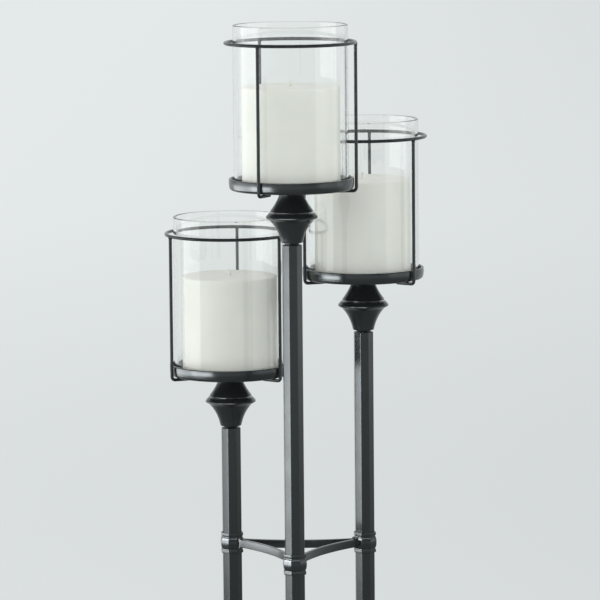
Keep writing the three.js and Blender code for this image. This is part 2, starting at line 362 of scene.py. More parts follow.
# Zinc-plated steel, barrel plated: bright grey with a faint blue cast and slight spangle.
def makeZinc():
    material, tree, place = startMaterial("zincPlatedSteel")
    spangle = addNode(tree, "TexVoronoi", {
        "Vector": place, "Scale": perMetre(zinc["spangle"]),
    }, feature="SMOOTH_F1")
    colour = addNode(tree, "Mix", {
        0: spangle.outputs["Distance"], 6: linear(zinc["bright"]), 7: linear(zinc["blue"]),
    }, data_type="RGBA")
    low, high = zinc["roughness"]
    roughness = addNode(tree, "MapRange", {
        "Value": spangle.outputs["Distance"], "From Max": zinc["spangleEdge"],
        "To Min": low, "To Max": high,
    })
    shader = addNode(tree, "BsdfPrincipled", {
        "Base Color": colour.outputs[2], "Metallic": 1.0, "Roughness": roughness.outputs["Result"],
    })
    endMaterial(tree, shader.outputs["BSDF"])
    return material


waxLook = {
    "body": "#f4f4ef",
    "cloudy": "#ebebe3",
    "cloud": 18,            # frosting of the wax
    "cloudDetail": 4.0,
    "cloudRoughness": 0.6,
    "cloudRange": (0.3, 0.7),
    "pore": 1.4,            # fine pits, drawn coarser than the real 0.4 mm
    "poreDetail": 2.0,
    "poreStrength": 0.35,
    "poreDepth": 0.02,
    "roughness": (0.42, 0.56),
    "ior": 1.43,
    "scatter": 0.35,
    "scatterColours": (1.0, 0.9, 0.7),
    "depth": 4.0,           # how far light travels in the wax
}


# Ivory pillar wax, moulded: soft, slightly translucent, satin skin with faint clouds.
def makeWax():
    w = waxLook
    material, tree, place = startMaterial("ivoryMouldedWax")
    cloud = addNode(tree, "TexNoise", {
        "Vector": place, "Scale": perMetre(w["cloud"]),
        "Detail": w["cloudDetail"], "Roughness": w["cloudRoughness"],
    })
    colour = addNode(tree, "Mix", {
        0: cloud.outputs["Fac"], 6: linear(w["body"]), 7: linear(w["cloudy"]),
    }, data_type="RGBA")
    clear, thick = w["cloudRange"]
    low, high = w["roughness"]
    roughness = addNode(tree, "MapRange", {
        "Value": cloud.outputs["Fac"], "From Min": clear, "From Max": thick, "To Min": low, "To Max": high,
    })
    pore = addNode(tree, "TexNoise", {
        "Vector": place, "Scale": perMetre(w["pore"]), "Detail": w["poreDetail"],
    })
    bump = addNode(tree, "Bump", {
        "Height": pore.outputs["Fac"], "Strength": w["poreStrength"], "Distance": w["poreDepth"] * mm,
    })
    shader = addNode(tree, "BsdfPrincipled", {
        "Base Color": colour.outputs[2],
        "Roughness": roughness.outputs["Result"],
        "IOR": w["ior"],
        "Subsurface Weight": w["scatter"],
        "Subsurface Radius": w["scatterColours"],
        "Subsurface Scale": w["depth"] * mm,
        "Normal": bump.outputs["Normal"],
    })
    endMaterial(tree, shader.outputs["BSDF"])
    return material


glassLook = {
    "tint": "#fefffe",
    "wave": 38,             # slow waves of drawn tube
    "waveStretch": (1.0, 1.0, 0.3),
    "waveStrength": 0.3,
    "waveDepth": 0.006,
    "ior": 1.5,
}


# Clear soda glass tube, drawn: faint waves in its reflections. Light passes it without caustics.
def makeGlass():
    g = glassLook
    material, tree, place = startMaterial("clearDrawnGlass")
    stretched = addNode(tree, "Mapping", {"Vector": place, "Scale": g["waveStretch"]})
    wave = addNode(tree, "TexNoise", {
        "Vector": stretched.outputs["Vector"], "Scale": perMetre(g["wave"]), "Detail": 0.0,
    })
    bump = addNode(tree, "Bump", {
        "Height": wave.outputs["Fac"], "Strength": g["waveStrength"], "Distance": g["waveDepth"] * mm,
    })
    clear = addNode(tree, "BsdfPrincipled", {
        "Base Color": linear(g["tint"]),
        "Roughness": 0.0,
        "IOR": g["ior"],
        "Transmission Weight": 1.0,
        "Normal": bump.outputs["Normal"],
    })
    through = addNode(tree, "BsdfTransparent", {"Color": linear(g["tint"])})
    path = addNode(tree, "LightPath")
    shader = addNode(tree, "MixShader", {
        0: path.outputs["Is Shadow Ray"], 1: clear.outputs["BSDF"], 2: through.outputs["BSDF"],
    })
    endMaterial(tree, shader.outputs["Shader"])
    return material


cottonLook = {
    "light": "#f7f5ee",
    "shade": "#e9e6db",
    "strand": 0.9,
    "slant": (0.6, 0.0, 0.0),
    "waver": 1.5,
    "gapStrength": 0.5,
    "gapDepth": 0.1,
    "roughness": 0.8,
}
waveRadians = 20    # a wave texture at scale 1 runs this far along one unit


# Braided cotton wick, waxed: cream strands that cross, with painted shade darkening the gaps between them.
def makeCotton():
    c = cottonLook
    material, tree, place = startMaterial("waxedCottonBraid")
    slanted = addNode(tree, "Mapping", {"Vector": place, "Rotation": c["slant"]})
    strands = addNode(tree, "TexWave", {
        "Vector": slanted.outputs["Vector"], "Scale": perMetre(c["strand"]) / waveRadians,
        "Distortion": c["waver"],
    }, bands_direction="Z")
    # painted shade: the darker colour falls where the strands dip, in the gaps that the bump below sinks
    colour = addNode(tree, "Mix", {
        0: strands.outputs["Fac"], 6: linear(c["shade"]), 7: linear(c["light"]),
    }, data_type="RGBA")
    bump = addNode(tree, "Bump", {
        "Height": strands.outputs["Fac"], "Strength": c["gapStrength"], "Distance": c["gapDepth"] * mm,
    })
    shader = addNode(tree, "BsdfPrincipled", {
        "Base Color": colour.outputs[2], "Roughness": c["roughness"], "Normal": bump.outputs["Normal"],
    })
    endMaterial(tree, shader.outputs["BSDF"])
    return material


rubberLook = {
    "dark": "#161617",
    "dusty": "#232323",
    "grain": 1.2,
    "grainDetail": 3.0,
    "grainStrength": 0.4,
    "grainDepth": 0.08,
    "roughness": 0.78,
}


# Black rubber, moulded: matt, with a fine sparked grain and a little dust.
def makeRubber():
    r = rubberLook
    material, tree, place = startMaterial("blackMouldedRubber")
    grain = addNode(tree, "TexNoise", {
        "Vector": place, "Scale": perMetre(r["grain"]), "Detail": r["grainDetail"],
    })
    colour = addNode(tree, "Mix", {
        0: grain.outputs["Fac"], 6: linear(r["dark"]), 7: linear(r["dusty"]),
    }, data_type="RGBA")
    bump = addNode(tree, "Bump", {
        "Height": grain.outputs["Fac"], "Strength": r["grainStrength"], "Distance": r["grainDepth"] * mm,
    })
    shader = addNode(tree, "BsdfPrincipled", {
        "Base Color": colour.outputs[2], "Roughness": r["roughness"], "Normal": bump.outputs["Normal"],
    })
    endMaterial(tree, shader.outputs["BSDF"])
    return material


materials = {
    "gunmetal_paint": makeGunmetal(),
    "zinc_plated_steel": makeZinc(),
    "clear_glass": makeGlass(),
    "ivory_wax": makeWax(),
    "cotton_wick": makeCotton(),
    "black_rubber": makeRubber(),
}
print("materials made:", len(materials))

slotOf = {part["node"]: part["material_slot"] for part in frame["record"]["subparts"]}
bodyOf = {node: body for body, members in bodies.items() for node in members}


# The finished piece stands for a CAD node: it takes the node's place, body and finish.
def standFor(piece, node):
    piece.data.materials.clear()
    piece.data.materials.append(materials[slotOf[node]])
    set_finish(piece, slotOf[node])
    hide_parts(node)
    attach(piece, bodyOf[node])


# Copies a piece made at the middle place to the other two.
def repeatAt(place, piece, nodePrefix, namePrefix):
    for side in sides:
        twin = piece
        if side != "middle":
            move = place[side] - place["middle"]
            twin = copyPiece(piece, f"{namePrefix}_{side}", place["middle"], move)
        standFor(twin, f"{nodePrefix}_{side}")


# Dish.
dish = {
    "bottomRadius": 47.5,
    "wallRadius": 48.15,     # just above the rounded lower edge
    "wallHandle": (48.7, 5.4),   # the wall bulges a little at half its height
    "wallSteps": 6,
    "rimRadius": 48.4,
    "rimStart": 0.1,         # the bulge ends this far below the rim's rounding
    "depth": 9.0,
    "floor": 3.0,
    "wall": 2.0,
    "outerRound": 2.6,
    "outerSteps": 8,
    "footInset": 1.5,        # flat of the underside to the lower edge's rounding
    "innerRound": 1.6,
    "rimRound": 0.6,
    "roundSteps": 5,
    "holeRadius": 2.8,
    "sinkRadius": 5.3,
    "sinkDepth": 2.7,
    "sinkStep": 0.2,
    "steps": 144,
    "smoothTo": 40,
}


def makeDish():
    d = dish
    low = (d["wallRadius"] - d["outerRound"], d["outerRound"])
    rimLow = d["depth"] - d["rimRound"]
    outline = [(d["holeRadius"], 0), (low[0] - d["footInset"], 0)]
    outline += arcPoints(low, d["outerRound"], -90, 0, d["outerSteps"])
    wallTop = (d["rimRadius"], rimLow - d["rimStart"])
    outline += curvePoints(outline[-1], d["wallHandle"], wallTop, d["wallSteps"])
    rimOut = (d["rimRadius"] - d["rimRound"], rimLow)
    rimIn = (d["rimRadius"] - d["wall"] + d["rimRound"], rimLow)
    outline += arcPoints(rimOut, d["rimRound"], 0, 90, d["roundSteps"])
    outline += arcPoints(rimIn, d["rimRound"], 90, 180, d["roundSteps"])
    inner = d["bottomRadius"] - d["wall"]
    corner = (inner - d["innerRound"], d["floor"] + d["innerRound"])
    outline += arcPoints(corner, d["innerRound"], 0, -90, d["roundSteps"])
    outline += [
        (d["sinkRadius"], d["floor"]),
        (d["sinkRadius"], d["floor"] - d["sinkStep"]),
        (d["holeRadius"], d["floor"] - d["sinkDepth"]),
    ]
    piece = turnOutline("steelDish_middle", outline, dishBase["middle"], d["steps"], closed=True)
    smoothFaces(piece, d["smoothTo"])
    repeatAt(dishBase, piece, "dish", "steelDish")


makeDish()
print("dishes made")

# Turned knob.
knob = {
    "drop": 0.3,             # dish underside to the knob's top
    "height": 42.5,
    "neck": (9.2, -1.0),     # (radius, height) from the knob's top, as are the next ones
    "flare": (9.6, -7.0),    # handle of the upper cone's curve
    "shoulder": (17.0, -16.7),
    "upperSteps": 12,
    "grooveRadius": 13.6,    # deep enough to look dark
    "bandTop": (17.8, -18.1),
    "edgeTop": (19.92, -20.5),
    "edgeMiddle": (20.2, -21.6),
    "edgeLow": (19.6, -22.1),
    "coneTop": (17.5, -23.2),
    "waist": (10.8, -30.0),  # handle of the lower cone's curve
    "lowerSteps": 14,
    "footRadius": 8.6,
    "footRound": 0.9,
    "footInset": 0.3,
    "footNeck": 5.6,         # the undercut above the post
    "footNeckHeight": 1.4,
    "holeRadius": 2.8,
    "edge": (0.22, 2, 24),    # (width, segments, angle from which edges are rounded)
    "smoothTo": 30,
    "steps": 120,
}


# An upper cone, a deep groove, a sharp-edged band, and a lower cone that narrows to the post.
def makeKnob():
    k = knob
    outline = [(k["neck"][0], 0), k["neck"]]
    outline += curvePoints(k["neck"], k["flare"], k["shoulder"], k["upperSteps"])
    outline += [(k["grooveRadius"], k["shoulder"][1]), (k["grooveRadius"], k["bandTop"][1])]
    outline += [k["bandTop"], k["edgeTop"], k["edgeMiddle"], k["edgeLow"], k["coneTop"]]
    footHeight = -k["height"] + k["footNeckHeight"]
    foot = (k["footRadius"], footHeight + k["footRound"])
    outline += curvePoints(k["coneTop"], k["waist"], foot, k["lowerSteps"])
    outline += [(k["footRadius"] - k["footInset"], footHeight)]
    outline += [(k["footNeck"], footHeight), (k["footNeck"], -k["height"])]
    outline += [(k["holeRadius"], -k["height"]), (k["holeRadius"], 0)]
    base = dishBase["middle"] - up * (k["drop"] * mm)
    piece = turnOutline("turnedKnob_middle", outline, base, k["steps"], closed=True)
    roundEdges(piece, *k["edge"])
    smoothFaces(piece, k["smoothTo"])
    repeatAt(dishBase, piece, "knob", "turnedKnob")


makeKnob()
print("knobs made")

# Wire cage.
cage = {
    "wireRadius": 1.3,
    "ringHeight": 113.4,
    "bendRadius": 2.8,
    "bendSteps": 8,
    "tail": 14.0,
    "tailHeight": -1.6,
    "weldRise": 2.2,         # the upright's last length, which widens into the ring
    "weldScale": 1.3,
    "weldSink": 0.5,
    "tipChamfer": 0.35,
    "tipScale": 0.7,
    "seamReach": 1.8,        # the butt weld that closes the ring, a short swelling at the back
    "seamScale": (1.0, 1.12, 1.12),
    "ringSteps": 160,
    "wireSides": 16,
    "ringSmoothTo": 60,
    "uprightSmoothTo": 50,
}


def makeRing():
    c = cage
    topMiddle = levelMiddle("cage_upright_middle_1", nodeHigh("cage_upright_middle_1"))
    radius = flatPlace(topMiddle - postAxis["middle"]).length
    selectNone()
    bpy.ops.mesh.primitive_torus_add(
        location=dishBase["middle"] + up * (c["ringHeight"] * mm),
        major_segments=c["ringSteps"],
        minor_segments=c["wireSides"],
        major_radius=radius,
        minor_radius=c["wireRadius"] * mm,
    )
    piece = startEdit()
    seam = dishBase["middle"] + Vector((0, radius, c["ringHeight"] * mm))
    pickVertices(piece, lambda point: (point - seam).length < c["seamReach"] * mm)
    bpy.ops.transform.resize(value=c["seamScale"], center_override=seam)
    piece = finishEdit(piece, "wireRing_middle")
    smoothFaces(piece, c["ringSmoothTo"])
    repeatAt(dishBase, piece, "cage_ring", "wireRing")
    return radius


# One upright on the +X side of the middle post: down outside the dish, round its edge, and in.
def makeUprights(radius):
    c = cage
    base = dishBase["middle"]
    outwards = Vector((1, 0, 0))
    top = base + outwards * radius + up * ((c["ringHeight"] - c["weldSink"]) * mm)
    bendLevel = (c["tailHeight"] + c["bendRadius"]) * mm
    bend = base + outwards * (radius - c["bendRadius"] * mm) + up * bendLevel
    selectNone()
    bpy.ops.mesh.primitive_circle_add(
        vertices=c["wireSides"], radius=c["wireRadius"] * mm, fill_type="NGON", location=top,
    )
    piece = startEdit()
    pickAll()
    swell(c["weldScale"], top)
    weldStep = c["weldRise"] * mm / 2
    halfway = 0.5 + 0.5 / c["weldScale"]
    push(-up * weldStep)
    swell(halfway, top - up * weldStep)
    push(-up * weldStep)
    swell(1 / (c["weldScale"] * halfway), top - up * 2 * weldStep)
    push(-up * (top.z - 2 * weldStep - bend.z))
    bpy.ops.mesh.spin(
        steps=c["bendSteps"], angle=math.pi / 2, center=bend, axis=Vector((0, -1, 0)),
    )
    tailFoot = bend - up * (c["bendRadius"] * mm)
    pickVertices(piece, lambda point: abs(point.x - tailFoot.x) < sameLevel and point.z < bend.z)
    push(-outwards * ((c["tail"] - c["tipChamfer"]) * mm))
    push(-outwards * (c["tipChamfer"] * mm))
    swell(c["tipScale"], tailFoot - outwards * (c["tail"] * mm))
    bpy.ops.mesh.edge_face_add()
    closeUp()
    piece = finishEdit(piece, "wireUprightPattern")
    smoothFaces(piece, c["uprightSmoothTo"])
    for side in sides:
        for number in (1, 2, 3):
            node = f"cage_upright_{side}_{number}"
            place = levelMiddle(node, nodeHigh(node)) - postAxis[side]
            turn = math.atan2(place.y, place.x)
            move = dishBase[side] - base
            twin = copyPiece(piece, f"wireUpright_{side}_{number}", base, move, turn)
            standFor(twin, node)
    bpy.data.objects.remove(piece)


makeUprights(makeRing())
print("cages made")

# Glass cylinder.
glass = {
    "radius": 44.5,
    "wall": 2.2,
    "low": 3.3,
    "height": 124.0,
    "footRound": 0.5,
    "footSteps": 3,
    "rimRound": 0.7,
    "rimSteps": 5,
    "steps": 160,
    "smoothTo": 60,
}


def makeGlassCylinder():
    g = glass
    inner = g["radius"] - g["wall"]
    foot = g["footRound"]
    rim = g["rimRound"]
    footLevel = g["low"] + foot
    rimLevel = g["low"] + g["height"] - rim
    outline = arcPoints((inner + foot, footLevel), foot, 180, 270, g["footSteps"])
    outline += arcPoints((g["radius"] - foot, footLevel), foot, 270, 360, g["footSteps"])
    outline += arcPoints((g["radius"] - rim, rimLevel), rim, 0, 90, g["rimSteps"])
    outline += arcPoints((inner + rim, rimLevel), rim, 90, 180, g["rimSteps"])
    piece = turnOutline("glassCylinder_middle", outline, dishBase["middle"], g["steps"], closed=True)
    smoothFaces(piece, g["smoothTo"])
    repeatAt(dishBase, piece, "glass", "glassCylinder")


makeGlassCylinder()
print("glass cylinders made")

# Pillar candle and wick.
candle = {
    "radius": 38.1,
    "low": 3.3,
    "height": 76.5,
    "shoulder": 1.6,
    "shoulderSteps": 6,
    "foot": 0.8,
    "footSteps": 4,
    "sag": 0.4,              # the top sinks a little towards the wick
    "sagHandle": 20.0,
    "sagRadius": 6.0,
    "sagSteps": 6,
    "rise": 0.35,            # small collar of wax drawn up the wick
    "riseHandle": 2.6,
    "riseSteps": 4,
    "wellRadius": 1.25,
    "wellDepth": 8.3,
    "steps": 144,
    "smoothTo": 50,
}


def makeCandle():
    c = candle
    high = c["low"] + c["height"]
    sagLevel = high - c["sag"]
    foot = (c["radius"] - c["foot"], c["low"] + c["foot"])
    shoulder = (c["radius"] - c["shoulder"], high - c["shoulder"])
    outline = [(0, c["low"])]
    outline += arcPoints(foot, c["foot"], 270, 360, c["footSteps"])
    outline += arcPoints(shoulder, c["shoulder"], 0, 90, c["shoulderSteps"])
    sagEnd = (c["sagRadius"], sagLevel)
    outline += curvePoints(outline[-1], (c["sagHandle"], sagLevel), sagEnd, c["sagSteps"])
    riseTop = (c["wellRadius"], sagLevel + c["rise"])
    outline += curvePoints(outline[-1], (c["riseHandle"], sagLevel), riseTop, c["riseSteps"])
    outline += [(c["wellRadius"], high - c["wellDepth"]), (0, high - c["wellDepth"])]
    piece = turnOutline("pillarCandle_middle", outline, dishBase["middle"], c["steps"])
    smoothFaces(piece, c["smoothTo"])
    repeatAt(dishBase, piece, "candle", "pillarCandle")


wick = {
    "radius": 1.1,
    "low": 71.8,
    "length": 13.0,
    "rings": 16,
    "twist": 34,             # degrees between rings
    "lobe": 0.8,             # how far the gaps between strands are pulled in
    "strandSides": 4,
    "sides": 12,
    "tipScale": 0.75,
    "smoothTo": 60,
}


# A circle of strands pulled up ring by ring, each ring turned on from the last.
def makeWick():
    w = wick
    base = dishBase["middle"] + up * (w["low"] * mm)
    selectNone()
    bpy.ops.mesh.primitive_circle_add(
        vertices=w["sides"], radius=w["radius"] * mm, fill_type="NGON", location=base,
    )
    piece = startEdit()
    step = w["length"] / w["rings"] * mm
    bpy.ops.object.mode_set(mode="OBJECT")
    for vertex in piece.data.vertices:
        vertex.select = vertex.index % w["strandSides"] == 0
    bpy.ops.object.mode_set(mode="EDIT")
    swell(w["lobe"], base)
    pickAll()
    for ring in range(w["rings"]):
        push(up * step)
        centre = base + up * (step * (ring + 1))
        bpy.ops.transform.rotate(value=math.radians(w["twist"]), orient_axis="Z", center_override=centre)
    swell(w["tipScale"], base + up * (w["length"] * mm))
    closeUp()
    piece = finishEdit(piece, "braidedWick_middle")
    smoothFaces(piece, w["smoothTo"])
    repeatAt(dishBase, piece, "wick", "braidedWick")


makeCandle()
makeWick()
print("candles made")

# Countersunk screw.
screw = {
    "radius": 2.5,
    "headRadius": 5.0,
    "headTop": 2.8,
    "headDepth": 2.5,
    "rim": 0.3,
    "tip": -61.1,
    "tipChamfer": 1.0,
    "socket": 1.9,
    "socketDepth": 1.7,
    "socketSides": 6,
    "steps": 48,
    "edge": (0.12, 2, 35),
    "smoothTo": 36,
}


def makeScrew():
    s = screw
    outline = [
        (0, s["tip"]),
        (s["radius"] - s["tipChamfer"], s["tip"]),
        (s["radius"], s["tip"] + s["tipChamfer"]),
        (s["radius"], s["headTop"] - s["headDepth"]),
        (s["headRadius"], s["headTop"] - s["rim"]),
        (s["headRadius"], s["headTop"]),
        (0, s["headTop"]),
    ]
    base = dishBase["middle"]
    piece = turnOutline("countersunkScrew_middle", outline, base, s["steps"])
    selectNone()
    bpy.ops.mesh.primitive_cylinder_add(
        vertices=s["socketSides"], radius=s["socket"] * mm, depth=2 * s["socketDepth"] * mm,
        location=base + up * (s["headTop"] * mm),
    )
    combine(piece, bpy.context.object, "DIFFERENCE")
    roundEdges(piece, *s["edge"])
    smoothFaces(piece, s["smoothTo"])
    repeatAt(dishBase, piece, "dish_screw", "countersunkScrew")


makeScrew()
print("screws made")

# Octagonal post.
post = {
    "acrossFlats": 15.0,
    "wall": 1.5,
    "turn": 7.0,             # degrees, front flat from facing -Y
    "edge": (0.45, 3, 30),
    "smoothTo": 30,
    "sides": 8,
}
cornerTurn = math.radians(-90 + post["turn"] + 180 / post["sides"])
cornerScale = 1 / math.cos(math.pi / post["sides"])


def makePosts():
    p = post
    for side in sides:
        low = nodeLow(f"post_{side}")
        high = nodeHigh(f"post_{side}")
        selectNone()
        bpy.ops.mesh.primitive_cylinder_add(
            vertices=p["sides"],
            radius=p["acrossFlats"] / 2 * cornerScale * mm,
            depth=high - low,
            end_fill_type="NOTHING",
            location=postAxis[side] + up * ((low + high) / 2),
            rotation=(0, 0, cornerTurn - math.pi / 2),
        )
        piece = finishEdit(bpy.context.object, f"octagonPost_{side}")
        thicken(piece, p["wall"], -1.0)
        roundEdges(piece, *p["edge"])
        smoothFaces(piece, p["smoothTo"])
        standFor(piece, f"post_{side}")


makePosts()
print("posts made")

# Collars, octagonal too.
collar = {
    "bore": 7.6,             # all radii are to the flats
    "ringFlat": 8.6,
    "grooveFlat": 7.95,
    "barrelEnd": 8.5,
    "barrelFlat": 9.1,
    "barrelHalf": 4.35,
    "grooveHeight": 1.3,
    "ringHeight": 2.5,
    "bulgeSteps": 8,
    "edge": (0.28, 2, 30),
    "smoothTo": 30,
}


def makeCollars():
    c = collar
    ringLow = c["barrelHalf"] + c["grooveHeight"]
    ringHigh = ringLow + c["ringHeight"]
    half = [(c["grooveFlat"], c["barrelHalf"]), (c["grooveFlat"], ringLow)]
    half += [(c["ringFlat"], ringLow), (c["ringFlat"], ringHigh)]
    barrelLow = (c["barrelEnd"], -c["barrelHalf"])
    barrelHigh = (c["barrelEnd"], c["barrelHalf"])
    bulgeHandle = (2 * c["barrelFlat"] - c["barrelEnd"], 0)
    bulge = curvePoints(barrelLow, bulgeHandle, barrelHigh, c["bulgeSteps"])
    outline = [(r, -h) for r, h in reversed(half)]
    outline += [barrelLow] + bulge + half
    outline += [(c["bore"], ringHigh), (c["bore"], -ringHigh)]
    outline = [(r * cornerScale, h) for r, h in outline]
    upper = nodeMiddle("upper_collar_middle")
    piece = turnOutline("upperCollar_middle", outline, upper, post["sides"], True, cornerTurn)
    roundEdges(piece, *c["edge"])
    smoothFaces(piece, c["smoothTo"])
    for level in ("upper", "lower"):
        for side in sides:
            node = f"{level}_collar_{side}"
            twin = piece
            if node != "upper_collar_middle":
                twin = copyPiece(piece, f"{level}Collar_{side}", upper, nodeMiddle(node) - upper)
            standFor(twin, node)


makeCollars()
print("collars made")

# Drop finial.
finial = {
    "radius": 9.0,
    "drop": 18.0,
    "tipHandle": 0.62,       # share of the radius, as are the next two
    "bellyRadius": 0.97,
    "upperHandle": 1.02,
    "bellyDrop": 0.52,       # share of the drop
    "tipSteps": 8,
    "upperSteps": 6,
    "rimDrop": 2.2,
    "rimSteps": 6,
    "neckRadius": 7.2,
    "neckDrop": 4.4,
    "neckHandle": 1.6,
    "neckRise": 0.8,
    "spigotRadius": 5.7,
    "spigot": 10.0,
    "gap": 0.3,
    "edge": (0.2, 2, 35),
    "smoothTo": 36,
    "steps": 96,
}


def makeFinials():
    f = finial
    rimRound = f["rimDrop"] / 2
    outline = [(0, -f["drop"])]
    belly = (f["radius"] * f["bellyRadius"], -f["drop"] * f["bellyDrop"])
    outline += curvePoints(outline[0], (f["radius"] * f["tipHandle"], -f["drop"]), belly, f["tipSteps"])
    upperHandle = (f["radius"] * f["upperHandle"], -f["neckDrop"] - f["neckHandle"])
    outline += curvePoints(belly, upperHandle, (f["neckRadius"], -f["neckDrop"]), f["upperSteps"])
    outline += [(f["neckRadius"], -f["neckDrop"] + f["neckRise"])]
    outline += arcPoints((f["radius"] - rimRound, -rimRound), rimRound, -90, 90, f["rimSteps"])
    outline += [(f["spigotRadius"], 0), (f["spigotRadius"], f["spigot"]), (0, f["spigot"])]
    base = {side: postAxis[side] + up * (nodeLow(f"post_{side}") - f["gap"] * mm) for side in sides}
    piece = turnOutline("dropFinial_middle", outline, base["middle"], f["steps"])
    roundEdges(piece, *f["edge"])
    smoothFaces(piece, f["smoothTo"])
    repeatAt(base, piece, "drop_finial", "dropFinial")


makeFinials()
print("finials made")

# Curved legs and pads.
leg = {
    "rootLow": 52.0,
    "rootHeight": 34.0,
    "sole": 3.3,
    "ankle": 12.3,
    "lowHandles": (0.32, 0.5),
    "highHandles": (0.5, 0.62),
    "thickness": 7.0,
    "edge": (1.1, 3, 50),
    "rootReach": 6.0,        # the blade's inner end, inside the tube's wall
    "rootShare": 0.9,        # where on the curve the inner end takes its height
    "footRadius": 9.5,
    "footThickness": 3.0,
    "footEdge": 0.7,
    "footEdgeSteps": 4,
    "footTop": 1.4,
    "footTopSteps": 5,
    "steps": 28,
    "footSteps": 96,
    "smoothTo": 40,
}


def bezier(points, t):
    while len(points) > 1:
        points = [tuple(a + (b - a) * t for a, b in zip(p, q)) for p, q in zip(points, points[1:])]
    return points[0]


def makeLegs():
    g = leg
    axis = postAxis["middle"]
    pad = flatPlace(nodeMiddle("foot_pad_middle"))
    reach = (pad - axis).length / mm
    outwards = (pad - axis).normalized()
    rootHigh = g["rootLow"] + g["rootHeight"]
    first = g["rootReach"] / reach * g["rootShare"]
    shapes = ((g["rootLow"], g["lowHandles"], g["sole"]), (rootHigh, g["highHandles"], g["ankle"]))
    edges = []
    for root, (near, far), toe in shapes:
        curve = [(0, root), (reach * near, root), (reach * far, toe), (reach, toe)]
        line = [bezier(curve, i / g["steps"]) for i in range(g["steps"] + 1)]
        line = [p for p in line if p[0] > g["rootReach"]]
        edges.append([(g["rootReach"], bezier(curve, first)[1])] + line)
    count = min(len(e) for e in edges)
    edges = [[e[0]] + e[len(e) - count + 1:] for e in edges]
    lines = [[axis + outwards * (x * mm) + up * (z * mm) for x, z in e] for e in edges]
    second = drawLine(lines[1])
    piece = drawLine(lines[0])
    makeActive(piece)
    second.select_set(True)
    bpy.ops.object.join()
    startEdit()
    pickAll()
    bpy.ops.mesh.bridge_edge_loops()
    closeUp()
    piece = finishEdit(piece, "curvedLeg_middle")
    thicken(piece, g["thickness"], 0.0)
    roundEdges(piece, *g["edge"])
    disc = g["footThickness"]
    lowEdge = g["footEdge"]
    top = g["footTop"]
    outline = [(0, 0)]
    outline += arcPoints((g["footRadius"] - lowEdge, lowEdge), lowEdge, 270, 360, g["footEdgeSteps"])
    outline += arcPoints((g["footRadius"] - top, disc - top), top, 0, 90, g["footTopSteps"])
    outline += [(0, disc)]
    soleAt = pad + up * (g["sole"] * mm)
    foot = turnOutline("footDisc", outline, soleAt, g["footSteps"])
    combine(piece, foot, "UNION")
    smoothFaces(piece, g["smoothTo"])
    for side in sides:
        twin = piece
        if side != "middle":
            direction = flatPlace(nodeMiddle(f"foot_pad_{side}")) - postAxis[side]
            turn = math.atan2(direction.y, direction.x) - math.atan2(outwards.y, outwards.x)
            twin = copyPiece(piece, f"curvedLeg_{side}", axis, postAxis[side] - axis, turn)
        standFor(twin, f"leg_{side}")


rubberPad = {
    "radius": 8.8,
    "height": 3.0,
    "chamfer": 0.8,
    "dimple": 3.0,
    "dimpleDepth": 0.6,
    "edge": (0.25, 2, 30),
    "smoothTo": 36,
    "steps": 72,
}


def makePads():
    r = rubberPad
    outline = [
        (0, r["dimpleDepth"]),
        (r["dimple"], r["dimpleDepth"]),
        (r["dimple"] + r["dimpleDepth"], 0),
        (r["radius"] - r["chamfer"], 0),
        (r["radius"], r["chamfer"]),
        (r["radius"], r["height"]),
        (0, r["height"]),
    ]
    place = {side: flatPlace(nodeMiddle(f"foot_pad_{side}")) for side in sides}
    piece = turnOutline("rubberPad_middle", outline, place["middle"], r["steps"])
    roundEdges(piece, *r["edge"])
    smoothFaces(piece, r["smoothTo"])
    repeatAt(place, piece, "foot_pad", "rubberPad")


makeLegs()
makePads()
print("legs and pads made")

# Spreader bars.
bar = {
    "height": 6.5,
    "thickness": 3.0,
    "bow": 9.5,
    "endReach": 8.4,         # the bar's end to the post's axis, inside the collar's barrel
    "weldLength": 2.4,
    "weldSteps": 2,
    "weldScale": 1.35,
    "edge": (0.5, 2, 50),
    "smoothTo": 40,
    "steps": 24,
}


# The strip's cross-section at its first end, with what is needed to sweep it along its arc.
def startBar(name, start, end, height):
    b = bar
    span = (end - start).length
    bow = b["bow"] * mm
    radius = span * span / (8 * bow) + bow / 2
    middle = (start + end) / 2
    inwards = flatPlace(standCentre - middle).normalized()
    centre = middle + inwards * (bow - radius) + up * height
    fromCentre = flatPlace(start - centre)
    toEnd = flatPlace(end - centre)
    begin = math.atan2(fromCentre.y, fromCentre.x)
    sweep = math.atan2(toEnd.y, toEnd.x) - begin
    sweep = (sweep + math.pi) % (2 * math.pi) - math.pi
    cutBack = math.copysign(b["endReach"] * mm / radius, sweep)
    begin += cutBack
    sweep -= 2 * cutBack
    selectNone()
    bpy.ops.mesh.primitive_plane_add(
        size=1,
        location=centre + Vector((math.cos(begin), math.sin(begin), 0)) * radius,
        rotation=(math.pi / 2, 0, begin),
    )
    piece = bpy.context.object
    piece.scale = (b["thickness"] * mm, b["height"] * mm, 1)
    return finishEdit(piece, name), centre, radius, begin, sweep


